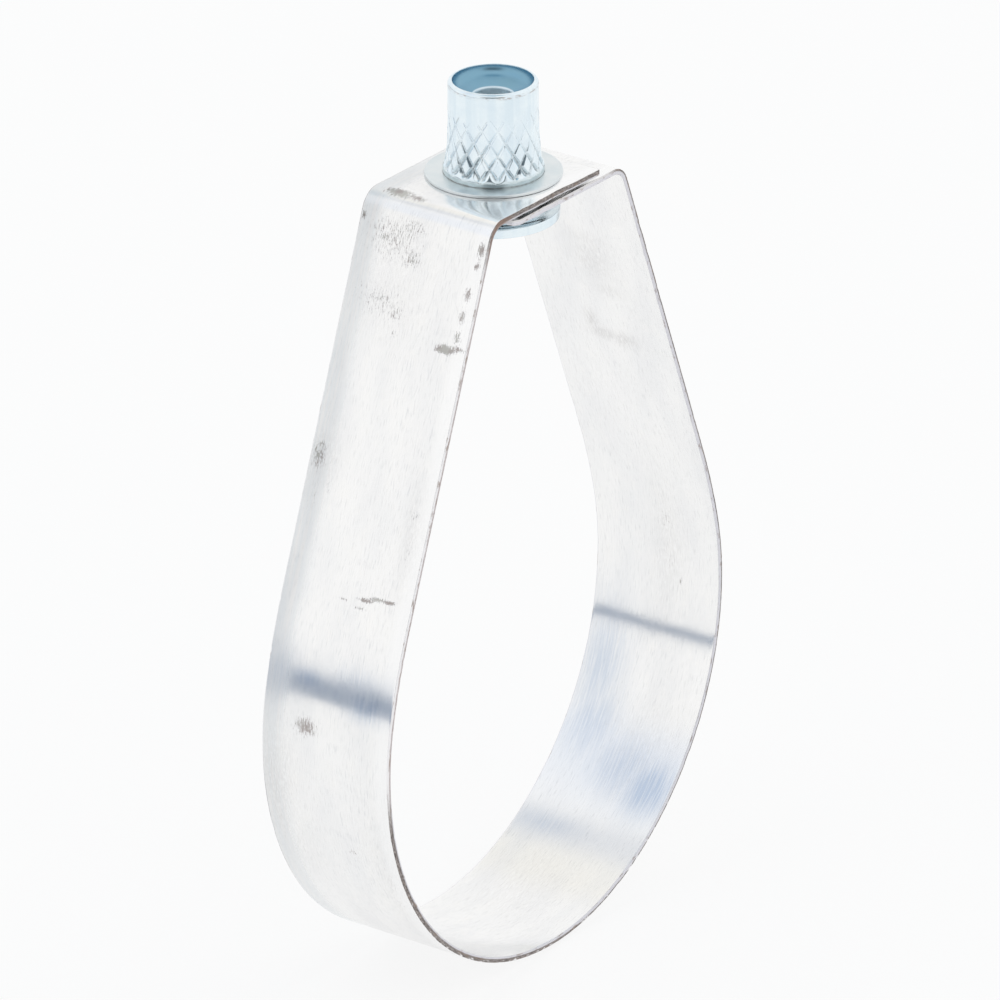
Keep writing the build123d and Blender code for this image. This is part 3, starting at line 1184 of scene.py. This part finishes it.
def make_room():
    """The world: white, and in reflections with the soft areas."""
    world = bpy.data.worlds.new("room")
    world.use_nodes = True
    tree = world.node_tree
    direction = add_value(tree, "TexCoord", "Generated")
    parts = add_node(tree, "SeparateXYZ", {"Vector": direction}).outputs
    x, y, z = (Value(tree, parts[name]) for name in "XYZ")
    azimuth = y.maths("ARCTAN2", x).maths("DEGREES")
    elevation = z.maths("ARCSINE").maths("DEGREES")
    colour = white
    for middle, height, half_width, half_height, softness, area_colour in room_areas:
        off_side = (azimuth - middle).maths("WRAP", 180.0, -180.0)
        side = off_side.maths("DIVIDE", half_width).maths("ABSOLUTE")
        level = (elevation - height).maths("DIVIDE", half_height).maths("ABSOLUTE")
        reach = side.maths("POWER", corner_power) + level.maths("POWER", corner_power)
        reach = reach.maths("POWER", 1 / corner_power)
        share = reach.fade(1 - softness, 1 + softness, 1.0, 0.0)
        colour = share.blend(colour, area_colour)
    colour = add_value(tree, "LightPath", "Is Camera Ray").blend(colour, white)
    tree.links.new(colour.socket, tree.nodes["Background"].inputs["Color"])
    bpy.context.scene.world = world


def floor_material():
    """Plain pale grey, almost white to the camera and in reflections."""
    material = bpy.data.materials.new("floor")
    material.use_nodes = True
    tree = material.node_tree
    tree.nodes.clear()
    plain = add_value(tree, "BsdfDiffuse", "BSDF", {"Color": floor_grey})
    glow = add_value(tree, "Emission", "Emission", {"Color": white, "Strength": 1.0})
    to_camera = add_value(tree, "LightPath", "Is Camera Ray")
    in_metal = add_value(tree, "LightPath", "Is Glossy Ray")
    share = to_camera.maths("MAXIMUM", in_metal) * floor_white_share
    shown = add_value(tree, "MixShader", "Shader", {0: share, 1: plain, 2: glow})
    add_node(tree, "OutputMaterial", {"Surface": shown})
    return material


def make_floor():
    """A pale disc under the ring, which keeps the object's shadow."""
    mesh = bpy.data.meshes.new("floor")
    edit = bmesh.new()
    bmesh.ops.create_circle(edit, cap_ends=True, segments=floor_sides, radius=floor_radius * MM)
    edit.to_mesh(mesh)
    edit.free()
    floor = bpy.data.objects.new("floor", mesh)
    floor.location = (0, 0, -ring_radius * MM)
    bpy.context.scene.collection.objects.link(floor)
    mesh.materials.append(floor_material())


def make_camera():
    """The camera at the photograph's place."""
    camera = bpy.data.objects.new("camera", bpy.data.cameras.new("camera"))
    bpy.context.scene.collection.objects.link(camera)
    camera.data.lens = camera_lens
    camera.data.sensor_width = camera_sensor
    camera.data.clip_start, camera.data.clip_end = camera_clip_metres
    azimuth, elevation = camera_azimuth, camera_elevation
    back = Vector((sin(azimuth) * cos(elevation), -cos(azimuth) * cos(elevation), sin(elevation)))
    level = Vector((cos(azimuth), sin(azimuth), 0))
    upright = back.cross(level)
    right = level * cos(camera_roll) + upright * sin(camera_roll)
    up = upright * cos(camera_roll) - level * sin(camera_roll)
    place = (right * camera_target_right + up * camera_target_up + back * camera_distance) * MM
    turn = Matrix((right, up, back)).transposed().to_4x4()
    camera.matrix_world = Matrix.Translation(place) @ turn
    bpy.context.scene.camera = camera


band = make_band(galvanized_face(), sheared_edge())
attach(band, "ring")
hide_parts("band")

nut = make_nut(zinc_plate())
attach(nut, "nut")
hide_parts("swivel_nut")

washer = make_washer(washer_zinc())
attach(washer, "nut")
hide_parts("retaining_washer")

make_room()
make_floor()
make_camera()
bpy.context.scene.view_settings.view_transform = "Standard"
